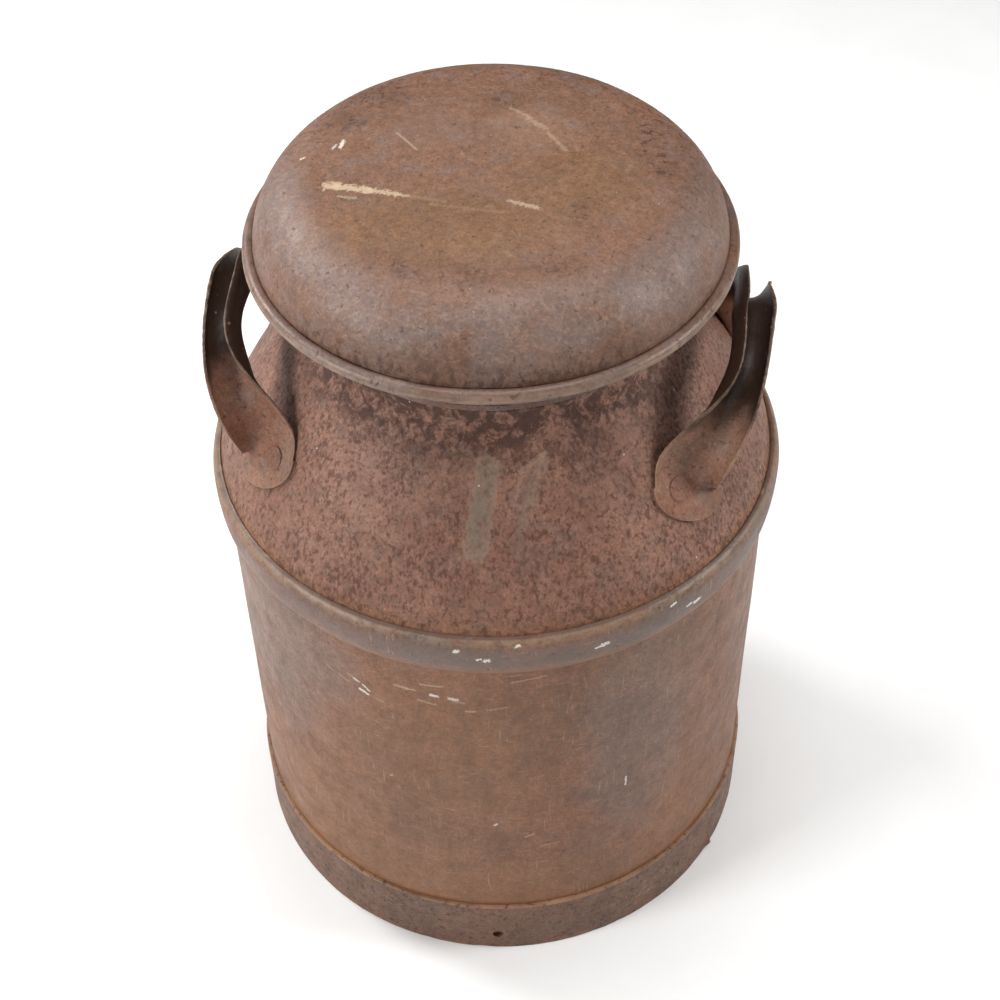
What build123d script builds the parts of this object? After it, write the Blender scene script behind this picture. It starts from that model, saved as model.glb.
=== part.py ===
from build123d import *
from math import asin, cos, degrees, radians, sin
import os

# Five-gallon dairy milk can of tinned sheet steel with its umbrella lid, in millimetres, +Z up.
# The origin is the centre of the footprint, on the floor. The front is -Y. The two strap handles
# stand at the sides, each turned HANDLE_TURN from the front. Outlines are drawn as (radius, height).

# ---- driving dimensions ----
SHEET = 1.2             # thickness of the pressed and rolled sheets
BODY_R = 140.0          # outside of the cylinder
BODY_BOTTOM = 2.0
BODY_TOP = 274.4        # where the breast sits on the cylinder
LAP_WIDTH = 14.0        # overlap of the side seam, at the back
LAP_BEAD_TURN = 0.8     # width of the solder along each edge of the lap, in degrees
FOOT_BAND_TOP = 42.0
FOOT_BAND_THICK = 2.2
FOOT_BAND_EDGE = 0.9    # rounding of its outer edges
FOOT_BAND_BEAD = 3.0    # width of the solder under the cylinder, inside the band
DRAIN_HOLE_D = 6.0
DRAIN_HOLE_Z = 14.0
DRAIN_HOLE_TURN = 5.8   # degrees from the front toward +X
PAN_Z = 27.0            # underside of the bottom at its edge
PAN_CROWN = 6.0         # how far the middle of the bottom domes up
PAN_FLAT_R = 20.0
PAN_FLANGE_BOTTOM = 18.5
PAN_BEAD = 1.5          # height of the solder under the flange
HOOP_BOTTOM = 253.5     # half-round hoop at the shoulder
HOOP_R = 144.9
HOOP_LOW_R = 143.5      # radius at its lower edge
HOOP_LIP = 0.6          # how far its upper edge stands proud of the cylinder, out and up
HOOP_WIDEST_Z = 267.5
HOOP_FILLET = 6.0       # solder fillet below the hoop
BREAST_BULGE = (133.0, 299.6)
BREAST_END = (91.0, 355.1)
BREAST_SKIRT_BOTTOM = 258.0
COLLAR_Z = 363.5        # the breast turns straight up here
COLLAR_TOP = 368.0
NECK_R = 87.0
NECK_BOTTOM = 352.0
FLARE_Z = 388.0         # the mouth starts to open here
FLARE_R = 11.0
FLARE_TURN = 70.0
MOUTH_WIRE_R = 2.0
LID_TOP = 436.8
LID_FLAT_R = 42.0       # level middle of the lid
DOME_R = 110.2          # outside of the dome at its foot
DOME_BEND = 35.3        # radius of the dome's shoulder
DOME_FOOT = 399.0
DOME_TURN = 86.0        # the shoulder ends at this angle, just short of level
LID_RIM_R = 115.1       # outermost edge of the rolled rim
LID_RIM_Z = 398.7
LID_RIM_BEAD = 3.35     # radius of the rolled rim
LID_WIRE_R = 2.15
LID_COLLAR_TOP = 407.0
LID_SEAT = 400.0        # underside of the plug's flange, which hangs on the mouth
PLUG_TOP_R = 84.6
PLUG_END_R = 82.0
PLUG_BOTTOM = 358.0

# handles: a strap bent to a bow, flat on the breast at its feet and rolled to an open C at the grip.
# A handle is drawn with its middle toward +Y. Three lines shape half of it: its two lips, which start
# at a foot's corners, and its belly, which starts between them. They end level in the middle.
HANDLE_TURN = 85.0      # each handle's middle, degrees from the front
STRAP = 1.6             # thickness of the strap
STRAP_WIDTH = 44.2      # width of a foot
PAD = 0.4               # film of solder under each foot
PAD_PROUD = 0.5         # how far the solder shows round a foot
FOOT_INNER = (38.5, 0.552)  # corner of a foot: degrees from the middle, share of the breast's curve
FOOT_OUTER = (21.4, 0.296)
FOOT_END = 15.0         # length of a foot's rounded end
BOW_TUCK = 3.0          # length by which the bow is started early, then trimmed flush with the foot
INNER_LIP = ((54.7, 81.8, 343.3), (49.8, 140.0, 357.3), (40.3, 121.7, 377.9), (0.0, 121.7, 377.9))
OUTER_LIP = ((76.3, 112.4, 321.0), (62.4, 141.3, 347.5), (29.5, 133.8, 371.0), (0.0, 133.8, 371.0))
BELLY = ((58.0, 114.4, 371.5), (14.3, 122.4, 359.8), (0.0, 122.4, 359.8))
BELLY_LEAD = 28.0       # the belly's first control point lies this far along the foot
STATIONS = 13
ARC_POINTS = 9
RIVET_TURN = 33.0
RIVET_ON_BREAST = 0.470
RIVET_SHANK_R = 2.5
RIVET_HEAD_R = 6.0
RIVET_HEAD = 0.5        # height of a head above the strap
RIVET_SUNK = 0.5        # depth that a head is drawn into the strap, then trimmed to fit it


# ---- helpers ----
def spin(*edges, arc=360.0):
    """Solid swept round Z by the face that these edges bound."""
    return revolve(Plane.XZ * make_face(list(edges)), Axis.Z, arc)


def spin_outline(*points, arc=360.0):
    return spin(Polyline(*points, close=True), arc=arc)


def tube(inner, outer, bottom, top, arc=360.0):
    return spin_outline((inner, bottom), (outer, bottom), (outer, top), (inner, top), arc=arc)


def hoop_ring(radius, height, thick):
    """Round bar of radius thick, bent to a ring."""
    return revolve(Plane.XZ * Pos(radius, height) * Circle(thick), Axis.Z)


def breast_curve(out=0.0):
    """Outer line of the breast, moved outward by out."""
    start, bulge, end = Vector(BODY_R, BODY_TOP), Vector(*BREAST_BULGE), Vector(*BREAST_END)
    first, last = (bulge - start).normalized(), (end - bulge).normalized()
    first_out, last_out = Vector(first.Y, -first.X), Vector(last.Y, -last.X)
    middle = (first_out + last_out) * (out / (1 + first_out.dot(last_out)))
    return Bezier(start + first_out * out, bulge + middle, end + last_out * out)


def breast_envelope(out):
    """Everything inside the breast's curve moved outward by out, down to the axis."""
    curve = breast_curve(out)
    low, high = curve @ 0, curve @ 1
    return spin(curve, Polyline((high.X, high.Y), (0, high.Y), (0, low.Y), (low.X, low.Y)))


# ---- cylinder and bottom ----
def drain_hole():
    drill = Cylinder(DRAIN_HOLE_D / 2, BODY_R / 2, rotation=(90, 0, 0))
    return Rot(0, 0, DRAIN_HOLE_TURN) * Pos(0, -BODY_R, DRAIN_HOLE_Z) * drill


def seam_turn(width):
    """Start angle and arc that centre a strip of this width on the back of the cylinder."""
    arc = degrees(2 * asin(width / 2 / BODY_R))
    return 90 - arc / 2, arc


def make_body_shell():
    wall = tube(BODY_R - SHEET, BODY_R, BODY_BOTTOM, BODY_TOP)
    start, arc = seam_turn(LAP_WIDTH)
    lap = tube(BODY_R - SHEET / 2, BODY_R + SHEET, FOOT_BAND_TOP, HOOP_BOTTOM - HOOP_FILLET, arc=arc)
    return wall + Rot(0, 0, start) * lap - drain_hole()


def make_side_seam_solder():
    """A thin bead along each edge of the lap."""
    start, arc = seam_turn(LAP_WIDTH)
    top = HOOP_BOTTOM - HOOP_FILLET
    bead = tube(BODY_R, BODY_R + SHEET / 2, FOOT_BAND_TOP, top, arc=LAP_BEAD_TURN)
    return [Rot(0, 0, start - LAP_BEAD_TURN) * bead, Rot(0, 0, start + arc) * bead]


def make_foot_band():
    band = tube(BODY_R, BODY_R + FOOT_BAND_THICK, 0, FOOT_BAND_TOP)
    outer_edges = band.edges().filter_by(GeomType.CIRCLE).group_by(SortBy.RADIUS)[-1]
    band = fillet(outer_edges, FOOT_BAND_EDGE)
    return band - drain_hole()


def make_foot_band_solder():
    """Bead under the cylinder's edge, inside the foot band."""
    return tube(BODY_R - FOOT_BAND_BEAD, BODY_R, BODY_BOTTOM / 4, BODY_BOTTOM)


def pan_line(height):
    """Line of the domed bottom, from its edge to its level middle."""
    return Spline((BODY_R - 2 * SHEET, PAN_Z + height), (PAN_FLAT_R, PAN_Z + PAN_CROWN + height),
                  tangents=[(-1, 0.1), (-1, 0)])


def make_bottom_pan():
    rim = BODY_R - SHEET
    under, over = pan_line(0), pan_line(SHEET)
    middle = Polyline(under @ 1, (0, PAN_Z + PAN_CROWN), (0, PAN_Z + PAN_CROWN + SHEET), over @ 1)
    disc = spin(under, middle, over, Line(over @ 0, under @ 0))
    return disc + tube(rim - SHEET, rim, PAN_FLANGE_BOTTOM, PAN_Z + SHEET)


def make_bottom_solder():
    rim, foot = BODY_R - SHEET, PAN_FLANGE_BOTTOM
    return spin_outline((rim, foot), (rim - SHEET, foot), (rim, foot - PAN_BEAD))


# ---- shoulder ----
def hoop_face():
    top = (BODY_R + HOOP_LIP, BODY_TOP + HOOP_LIP)
    return Spline((HOOP_LOW_R, HOOP_BOTTOM), (HOOP_R, HOOP_WIDEST_Z), top, tangents=[(0.15, 1), (-1, 0.35)])


def make_shoulder_band():
    curve = hoop_face()
    low, high = curve @ 0, curve @ 1
    back = Polyline((high.X, high.Y), (BODY_R, BODY_TOP), (BODY_R, low.Y), (low.X, low.Y))
    return spin(curve, back)


def make_shoulder_band_solder():
    edge, foot = (HOOP_LOW_R, HOOP_BOTTOM), (BODY_R, HOOP_BOTTOM - HOOP_FILLET)
    sag = TangentArc(edge, foot, tangent=(-0.25, -1))
    return spin(sag, Polyline(foot, (BODY_R, HOOP_BOTTOM), edge))


def breast_sheet_line(out):
    """The breast's line from its foot to the collar, moved outward by out."""
    curve = breast_curve(out)
    end = curve @ 1
    turn = TangentArc((end.X, end.Y), (NECK_R + SHEET + out, COLLAR_Z), tangent=curve % 1)
    return [curve, turn, Line(turn @ 1, (NECK_R + SHEET + out, COLLAR_TOP))]


def make_breast():
    outside, inside = breast_sheet_line(0), breast_sheet_line(-SHEET)
    cap = Line(outside[-1] @ 1, inside[-1] @ 1)
    foot_in = inside[0] @ 0
    skirt_out, skirt_in = BODY_R - SHEET, BODY_R - 2 * SHEET
    skirt = Polyline((foot_in.X, foot_in.Y), (skirt_in, BODY_TOP - SHEET), (skirt_in, BREAST_SKIRT_BOTTOM),
                     (skirt_out, BREAST_SKIRT_BOTTOM), (skirt_out, BODY_TOP), (BODY_R, BODY_TOP))
    shell = spin(*outside, cap, *inside, skirt)
    for turn in handle_turns():
        for drill in handle_rivet_shanks():
            shell -= Rot(0, 0, turn) * drill
    return shell


# ---- neck and mouth ----
def mouth_wire_centre():
    reach = FLARE_R - MOUTH_WIRE_R
    turn = radians(180 - FLARE_TURN)
    return NECK_R + FLARE_R + reach * cos(turn), FLARE_Z + reach * sin(turn)


def make_neck():
    """Straight neck, flared mouth and the curl round the mouth wire."""
    flare_centre = (NECK_R + FLARE_R, FLARE_Z)
    outside = CenterArc(flare_centre, FLARE_R, 180, -FLARE_TURN)
    inside = CenterArc(flare_centre, FLARE_R + SHEET, 180, -FLARE_TURN)
    wall = Polyline(outside @ 0, (NECK_R, NECK_BOTTOM), (NECK_R - SHEET, NECK_BOTTOM), inside @ 0)
    radius, height = mouth_wire_centre()
    curl = hoop_ring(radius, height, MOUTH_WIRE_R + SHEET)
    return spin(wall, outside, Line(outside @ 1, inside @ 1), inside) + curl - make_mouth_wire()


def make_mouth_wire():
    return hoop_ring(*mouth_wire_centre(), MOUTH_WIRE_R)


def make_neck_solder():
    """Fillet on the top edge of the breast's collar."""
    return spin_outline((NECK_R, COLLAR_TOP), (NECK_R + SHEET, COLLAR_TOP), (NECK_R, COLLAR_TOP + 2.0))


# ---- lid ----
def lid_rim_centre():
    return LID_RIM_R - LID_RIM_BEAD, LID_RIM_Z


def lid_rim_bead():
    return hoop_ring(*lid_rim_centre(), LID_RIM_BEAD)


def dome_line(inset):
    """Line of the dome from its foot to its level middle, moved inward by inset."""
    bend_centre = (DOME_R - DOME_BEND, DOME_FOOT)
    shoulder = CenterArc(bend_centre, DOME_BEND - inset, 0, DOME_TURN)
    crown = Spline(shoulder @ 1, (LID_FLAT_R, LID_TOP - inset), tangents=[shoulder % 1, (-1, 0)])
    return [shoulder, crown, Line((LID_FLAT_R, LID_TOP - inset), (0, LID_TOP - inset))]


def make_lid_dome():
    outside, inside = dome_line(0), dome_line(SHEET)
    middle = Line((0, LID_TOP), (0, LID_TOP - SHEET))
    foot = Line(inside[0] @ 0, outside[0] @ 0)
    return spin(*outside, middle, *inside, foot) - lid_rim_bead()


def make_lid_rim():
    """Rolled rim with the collar that is clinched inside the foot of the dome."""
    collar_out = DOME_R - SHEET
    collar = tube(collar_out - SHEET, collar_out, LID_RIM_Z, LID_COLLAR_TOP) - dome_cut()
    return lid_rim_bead() + collar - make_lid_rim_wire()


def dome_cut():
    """Everything outside the dome's inner face, above the rim."""
    inside = dome_line(SHEET)
    full = tube(0, DOME_R + SHEET, DOME_FOOT, LID_TOP)
    return full - spin(*inside, Polyline((0, LID_TOP - SHEET), (0, DOME_FOOT), inside[0] @ 0))


def make_lid_rim_wire():
    return hoop_ring(*lid_rim_centre(), LID_WIRE_R)


def make_lid_plug():
    """Tapered plug with the flange that hangs on the mouth."""
    edge = DOME_R - 2 * SHEET
    top = LID_SEAT + SHEET
    return spin_outline((edge, LID_SEAT), (edge, top), (PLUG_TOP_R - SHEET, top),
                        (PLUG_END_R - SHEET, PLUG_BOTTOM), (PLUG_END_R, PLUG_BOTTOM),
                        (PLUG_TOP_R, LID_SEAT - 3.0), (PLUG_TOP_R + 3.0, LID_SEAT)) - lid_rim_bead()


def make_lid_plug_bottom():
    """Disc with a turned-up edge, soldered into the lower end of the plug."""
    low, high = PLUG_END_R - SHEET, PLUG_END_R - SHEET + 0.3
    floor, edge = PLUG_BOTTOM + 2.0, PLUG_BOTTOM + 8.0
    return spin_outline((0, floor), (low, floor), (high, edge), (high - SHEET, edge),
                        (low - SHEET, floor + SHEET), (0, floor + SHEET))


def make_lid_solder():
    """Fillet between the plug's flange and the collar of the rim, inside the closed lid."""
    edge, floor = DOME_R - 2 * SHEET, LID_SEAT + SHEET
    return spin_outline((edge, floor), (edge - 2.0, floor), (edge, floor + 2.0))


# ---- handles ----
def handle_turns():
    return [HANDLE_TURN - 180, 180 - HANDLE_TURN]


def breast_plane(spread, along, out=0.0):
    """Plane that touches the breast: Z out of it, Y up along it. spread is degrees from +Y to +X."""
    curve = breast_curve()
    point, up = curve @ along, (curve % along)
    radial = Vector(sin(radians(spread)), cos(radians(spread)), 0)
    normal = radial * up.Y + Vector(0, 0, -up.X)
    along_breast = radial * up.X + Vector(0, 0, up.Y)
    origin = radial * point.X + Vector(0, 0, point.Y) + normal * out
    return Plane(origin, x_dir=along_breast.cross(normal), z_dir=normal)


def foot_corners(out):
    """Where the two edges of the strap leave the breast: on the lid's side, and on the outer side."""
    return [breast_plane(*corner, out).origin for corner in (FOOT_INNER, FOOT_OUTER)]


def foot_plane():
    """Plane that touches the breast at a foot: X toward the bow, Y along the strap's width."""
    spread, along = [(a + b) / 2 for a, b in zip(FOOT_INNER, FOOT_OUTER)]
    touch = breast_plane(spread, along)
    inner, outer = foot_corners(0)
    return Plane(touch.origin, x_dir=(inner - outer).cross(touch.z_dir), z_dir=touch.z_dir)


def foot_outline(grow):
    """Outline of one foot, grown by grow, with its rounded end toward -X."""
    half = STRAP_WIDTH / 2 + grow
    return Ellipse(FOOT_END + grow, half) & Pos(-half, 0) * Rectangle(2 * half, 4 * half)


def foot_layer(inner, outer, grow):
    """Sheet that lies on the breast between two distances from it, in the outline of a foot."""
    prism = extrude(foot_plane() * foot_outline(grow), 12, both=True)
    return (breast_envelope(outer) - breast_envelope(inner)) & prism


def bow_section(lines, share, tuck=0.0):
    """Cross-section of the strap at this share of the way from foot to grip, moved back by tuck."""
    inner, belly, outer = [line @ share - foot_plane().x_dir * tuck for line in lines]
    arc = ThreePointArc(inner, belly, outer)
    centre, radius = arc.arc_center, arc.radius
    opens_up = 1 if centre.Z > belly.Z else -1
    sides = []
    for lift in (-STRAP / 2, STRAP / 2):
        scale = (radius - lift * opens_up) / radius
        sides.append(Spline(*[centre + (arc @ (i / (ARC_POINTS - 1)) - centre) * scale
                              for i in range(ARC_POINTS)]))
    caps = [Line(sides[0] @ end, sides[1] @ end) for end in (0, 1)]
    return make_face([*sides, *caps])


def make_bow():
    """Half of a bow, from the flat foot to the middle of the grip."""
    inner_foot, outer_foot = foot_corners(PAD + STRAP / 2)
    foot = foot_plane()
    belly_foot = foot.origin + foot.z_dir * (PAD + STRAP / 2)
    belly = Bezier(belly_foot, belly_foot + foot.x_dir * BELLY_LEAD, *BELLY)
    lines = Bezier(inner_foot, *INNER_LIP), belly, Bezier(outer_foot, *OUTER_LIP)
    stations = [bow_section(lines, i / (STATIONS - 1)) for i in range(STATIONS)]
    bow = loft([bow_section(lines, 0, BOW_TUCK), *stations])
    behind_foot = foot * Pos(-STRAP_WIDTH / 2, 0) * Box(STRAP_WIDTH, 2 * STRAP_WIDTH, STRAP_WIDTH)
    return bow - behind_foot - breast_envelope(PAD)


def make_handle():
    """One handle with its middle toward +Y: half a bow and a foot, mirrored."""
    half = make_bow() + foot_layer(PAD, PAD + STRAP, 0)
    handle = half + mirror(half, Plane.YZ)
    for drill in handle_rivet_shanks():
        handle -= drill
    return handle


def rivet_plane(side):
    return breast_plane(side * RIVET_TURN, RIVET_ON_BREAST)


def handle_rivet_shanks():
    return [rivet_plane(side) * Cylinder(RIVET_SHANK_R, 16) for side in (1, -1)]


def make_rivet(side, handle):
    """Rivet through the foot, the solder and the breast, with a low head outside and one inside."""
    plane = rivet_plane(side)
    face = PAD + STRAP
    shank = plane * Pos(0, 0, (face - SHEET) / 2) * Cylinder(RIVET_SHANK_R, face + SHEET)
    head_middle = face + (RIVET_HEAD - RIVET_SUNK) / 2
    head = plane * Pos(0, 0, head_middle) * Cylinder(RIVET_HEAD_R, RIVET_HEAD + RIVET_SUNK)
    tail = plane * Pos(0, 0, -SHEET - RIVET_SUNK) * Cylinder(RIVET_HEAD_R - 1, 2 * RIVET_HEAD)
    return shank + (head - breast_envelope(face) - handle) + (tail & breast_envelope(-SHEET))


def make_foot_solder(side):
    pad = foot_layer(0, PAD, PAD_PROUD)
    if side < 0:
        pad = mirror(pad, Plane.YZ)
    return pad - rivet_plane(side) * Cylinder(RIVET_SHANK_R, 16)


# ---- all nodes ----
def make_nodes():
    nodes = {
        "body_shell": make_body_shell(),
        "side_seam_solder": make_side_seam_solder(),
        "foot_band": make_foot_band(),
        "foot_band_solder": make_foot_band_solder(),
        "bottom_pan": make_bottom_pan(),
        "bottom_solder": make_bottom_solder(),
        "shoulder_band": make_shoulder_band(),
        "shoulder_band_solder": make_shoulder_band_solder(),
        "breast": make_breast(),
        "neck": make_neck(),
        "neck_solder": make_neck_solder(),
        "mouth_wire": make_mouth_wire(),
        "lid_dome": make_lid_dome(),
        "lid_rim": make_lid_rim(),
        "lid_rim_wire": make_lid_rim_wire(),
        "lid_plug": make_lid_plug(),
        "lid_plug_bottom": make_lid_plug_bottom(),
        "lid_solder": make_lid_solder(),
    }
    handle = make_handle()
    for name, turn, front in (("right", handle_turns()[0], 1), ("left", handle_turns()[1], -1)):
        place = Rot(0, 0, turn)
        nodes[f"{name}_handle"] = place * handle
        for end, side in (("front", front), ("rear", -front)):
            nodes[f"{name}_{end}_rivet"] = place * make_rivet(side, handle)
            nodes[f"{name}_{end}_foot_solder"] = place * make_foot_solder(side)
    return nodes


os.makedirs("parts", exist_ok=True)
for node_name, shape in make_nodes().items():
    solids = shape if isinstance(shape, list) else shape.solids()
    export_step(Compound(solids), f"parts/{node_name}.step")
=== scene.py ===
from math import acos, ceil, cos, degrees, exp, pi, radians, sin

import bmesh
import bpy
from mathutils import Matrix, Vector, noise


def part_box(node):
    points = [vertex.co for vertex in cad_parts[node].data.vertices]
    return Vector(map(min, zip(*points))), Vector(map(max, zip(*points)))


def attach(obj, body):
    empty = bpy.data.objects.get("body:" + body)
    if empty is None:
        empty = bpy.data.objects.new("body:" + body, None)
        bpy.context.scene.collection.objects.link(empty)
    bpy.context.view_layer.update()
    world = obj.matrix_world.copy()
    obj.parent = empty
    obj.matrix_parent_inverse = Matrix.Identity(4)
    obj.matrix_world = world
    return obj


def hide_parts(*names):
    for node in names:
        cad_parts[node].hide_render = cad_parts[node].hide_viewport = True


# Looks of an old dairy milk can: rusted tinned sheet, worn handles and a loose umbrella lid.
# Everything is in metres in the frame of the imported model: +Z up, the front toward -Y, the origin on
# the floor under the middle. Outlines are (radius, height) and run so that the seen face is on their left.
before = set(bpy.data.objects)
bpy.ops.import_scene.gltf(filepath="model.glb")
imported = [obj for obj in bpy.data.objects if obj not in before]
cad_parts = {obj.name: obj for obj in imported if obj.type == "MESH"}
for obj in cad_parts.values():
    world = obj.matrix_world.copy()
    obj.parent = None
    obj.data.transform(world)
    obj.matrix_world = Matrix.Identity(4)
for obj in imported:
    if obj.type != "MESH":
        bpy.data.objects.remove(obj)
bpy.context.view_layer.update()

MM = 0.001
SHEET = 1.2 * MM            # thickness of the sheets
LID_RIM_BEAD = 3.35 * MM    # radius of the rolled rim of the lid
LID_COLLAR = 8.3 * MM       # how far the rim's collar goes up inside the dome
DOME_BEND = 35.3 * MM       # radius of the lid's shoulder
DOME_TURN = 86              # the shoulder ends at this angle, just short of level
DOME_EASE = 14 * MM         # reach of the easy curve from the shoulder to the level middle
LID_FLAT_R = 42 * MM
PLUG_TOP_R = 84.6 * MM
PLUG_END_R = 82 * MM
PLUG_CHAMFER = 3 * MM       # between the plug's wall and its flange
FLARE_R = 11 * MM           # the mouth opens along an arc of this radius, to this angle
FLARE_TURN = 70
MOUTH_WIRE_R = 2 * MM
COLLAR_R = 88.2 * MM        # the breast stands straight up against the neck at this radius
COLLAR_HEIGHT = 4.5 * MM
COLLAR_TURN_END = (91 * MM, 355.1 * MM)     # from here the breast slopes down to the body
SLOPE_BULGE = (133 * MM, 299.6 * MM)        # the point that draws the slope outward
SKIRT_BOTTOM = 258 * MM     # lower edge of the breast, inside the body
HOOP_LIP = 0.6 * MM         # how far the hoop's upper edge stands proud of the cylinder
HOOP_FILLET = 6 * MM        # height of the solder that runs out below the hoop
FOOT_EDGE = 0.9 * MM        # rounding of the foot band's outer edges
PAN_RISE = 7.2 * MM         # from the bend at the bottom's rim up to the top of its middle
LAP_WIDTH = 14 * MM         # side seam at the back
DRAIN_TURN = 5.8            # the drain hole, in degrees from the front toward +X
DRAIN_Z = 14 * MM
DRAIN_R = 3 * MM
GRIP_KNOCK = 5 * MM         # how far the rear half of each handle has been knocked inward
COLUMNS = 400               # faces round a turned piece
SHARP = radians(40)         # edges bent more than this are drawn sharp
NOISE_LOW, NOISE_HIGH = 0.36, 0.64          # most values of a noise texture lie between these


def in_mm(lengths):
    """Lengths given in millimetres, in metres."""
    return [length * MM for length in lengths]


def reach(node):
    """Radius, lowest and highest height of a turned CAD node."""
    low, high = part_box(node)
    return -low.x, low.z, high.z


BODY_R, BODY_BOTTOM, BODY_TOP = reach("body_shell")
FOOT_R, FLOOR, FOOT_TOP = reach("foot_band")
HOOP_R, HOOP_BOTTOM, HOOP_TOP = reach("shoulder_band")
NECK_REACH, NECK_BOTTOM, NECK_TOP = reach("neck")
BREAST_TOP = reach("breast")[2]
LID_RIM_R, LID_RIM_BOTTOM, _ = reach("lid_rim")
DOME_R, _, LID_TOP = reach("lid_dome")


# dents of the lid as (x, y, size, depth), and of the cylinder with degrees from the front and a height
# in place of x and y
LID_DENTS = ((-0.052, -0.022, 14 * MM, 0.5 * MM), (0.060, 0.030, 20 * MM, 0.6 * MM),
             (0.010, -0.030, 26 * MM, 0.5 * MM))
BODY_DENTS = ((-38, 0.150, 24 * MM, 0.9 * MM), (62, 0.110, 30 * MM, 1.0 * MM),
              (150, 0.170, 22 * MM, 1.3 * MM), (-120, 0.090, 26 * MM, 1.1 * MM))


# ---- outlines ----
def line(*corners, step=3 * MM):
    """Points along straight runs between the corners, about one step apart."""
    points = [Vector(corners[0])]
    for start, end in zip(corners, corners[1:]):
        start, end = Vector(start), Vector(end)
        count = max(1, ceil((end - start).length / step))
        points += [start.lerp(end, i / count) for i in range(1, count + 1)]
    return points


def arc(centre, radius, start, end, step=1.5 * MM):
    """Points on an arc from one angle to another, in degrees from the +radius direction."""
    count = max(2, ceil(abs(radians(end - start)) * radius / step))
    turns = [radians(start + (end - start) * i / count) for i in range(count + 1)]
    return [Vector((centre[0] + radius * cos(t), centre[1] + radius * sin(t))) for t in turns]


def curve(*controls, step=1.5 * MM):
    """Points on the Bezier curve of these control points."""
    controls = [Vector(c) for c in controls]
    length = sum((b - a).length for a, b in zip(controls, controls[1:]))
    count = max(2, ceil(length / step))
    points = []
    for i in range(count + 1):
        row = controls
        while len(row) > 1:
            row = [a.lerp(b, i / count) for a, b in zip(row, row[1:])]
        points.append(row[0])
    return points


def joined(*runs):
    """One run of points out of several, without the doubled ones where they meet."""
    points = list(runs[0])
    for run in runs[1:]:
        points += [p for p in run if (p - points[-1]).length > 0.05 * MM]
    return points


def lefts(points):
    """Unit vector to the left of the run at each point."""
    sides = []
    for i, _ in enumerate(points):
        along = points[min(i + 1, len(points) - 1)] - points[max(i - 1, 0)]
        sides.append(Vector((-along.y, along.x)).normalized())
    return sides


def sheet_loop(points, thick=SHEET, back_step=3):
    """Closed outline of a bent sheet, each point with the direction in which dents move it."""
    sides = lefts(points)
    front = list(zip(points, sides))
    back = [(p - s * thick, s) for p, s in front]
    middle = [(p - s * thick / 2, s) for p, s in front]
    first = points[0] - points[1]
    last = points[-1] - points[-2]
    round_over = 0.25 * thick
    start = (middle[0][0] + first.normalized() * round_over, sides[0])
    end = (middle[-1][0] + last.normalized() * round_over, sides[-1])
    inner = back[-1:0:-back_step] + [back[0]]
    on_axis = [abs(points[i].x) < 0.01 * MM for i in (0, -1)]
    return ([] if on_axis[0] else [start]) + front + ([] if on_axis[1] else [end]) + inner


def solid_loop(face, rest):
    """Closed outline of a bar: dents move only its seen face."""
    return list(zip(face, lefts(face))) + [(Vector(p), Vector((0, 0))) for p in rest]


# ---- turned pieces ----
def turned(name, loop, relief, body, nodes, material, columns=COLUMNS, extra_turns=()):
    """Piece made by turning an outline round Z. relief gives how far a place is moved out of its sheet."""
    turns = sorted({round(360 * i / columns - 180, 4) for i in range(columns)} | set(extra_turns))
    points, rings = [], []
    for at, side in loop:
        if at.x < 0.01 * MM:
            rings.append([len(points)])
            points.append((0, 0, at.y + relief(Vector((0, 0, at.y))) * side.y))
            continue
        ring = []
        for turn in turns:
            out = Vector((sin(radians(turn)), -cos(radians(turn)), 0))
            place = out * at.x + Vector((0, 0, at.y))
            push = relief(place) if side.length else 0
            ring.append(len(points))
            points.append(place + (out * side.x + Vector((0, 0, side.y))) * push)
        rings.append(ring)
    faces = []
    for ring, following in zip(rings, rings[1:] + rings[:1]):
        if len(ring) == len(following) == 1:
            continue
        for i in range(len(turns)):
            j = (i + 1) % len(turns)
            quad = [ring[i % len(ring)], ring[j % len(ring)],
                    following[j % len(following)], following[i % len(following)]]
            faces.append(list(dict.fromkeys(quad)))
    mesh = bpy.data.meshes.new(name)
    mesh.from_pydata(points, [], faces)
    return finished(name, mesh, body, nodes, material)


def finished(name, mesh, body, nodes, material):
    """Puts a mesh in the scene as a piece that stands for CAD nodes."""
    work = bmesh.new()
    work.from_mesh(mesh)
    bmesh.ops.recalc_face_normals(work, faces=work.faces)
    work.to_mesh(mesh)
    work.free()
    mesh.shade_smooth()
    mesh.set_sharp_from_angle(angle=SHARP)
    mesh.materials.clear()
    mesh.materials.append(material)
    piece = bpy.data.objects.new(name, mesh)
    bpy.context.scene.collection.objects.link(piece)
    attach(piece, body)
    if nodes:
        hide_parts(*nodes)
    return piece


def with_modifiers(piece):
    """Gives a piece the mesh that its modifiers make, and takes them off."""
    seen = piece.evaluated_get(bpy.context.evaluated_depsgraph_get())
    mesh = bpy.data.meshes.new_from_object(seen)
    piece.modifiers.clear()
    piece.data = mesh
    return piece


# ---- relief ----
def rumple(place, size, height, seed=0.0):
    """Smooth random bumps and hollows of about this size, up or down by this height."""
    return height * noise.noise(place / size + Vector((seed, 2 * seed, -seed)))


def pocks(place, size, depth, share, seed=0.0):
    """Small scattered hollows: share is how much of the surface they take, from 0 to 1."""
    level = noise.noise(place / size + Vector((seed, -seed, 3 * seed)))
    edge = 1 - 2 * share
    return -depth * min(1.0, max(0.0, (level - edge) / 0.15))


def dent(place, centre, size, depth):
    return -depth * exp(-((place - Vector(centre)).length / size) ** 2)


def on_can(turn, height, radius=None):
    """Place on the can's side, from an angle off the front and a height."""
    radius = radius or BODY_R
    return Vector((radius * sin(radians(turn)), -radius * cos(radians(turn)), height))


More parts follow.
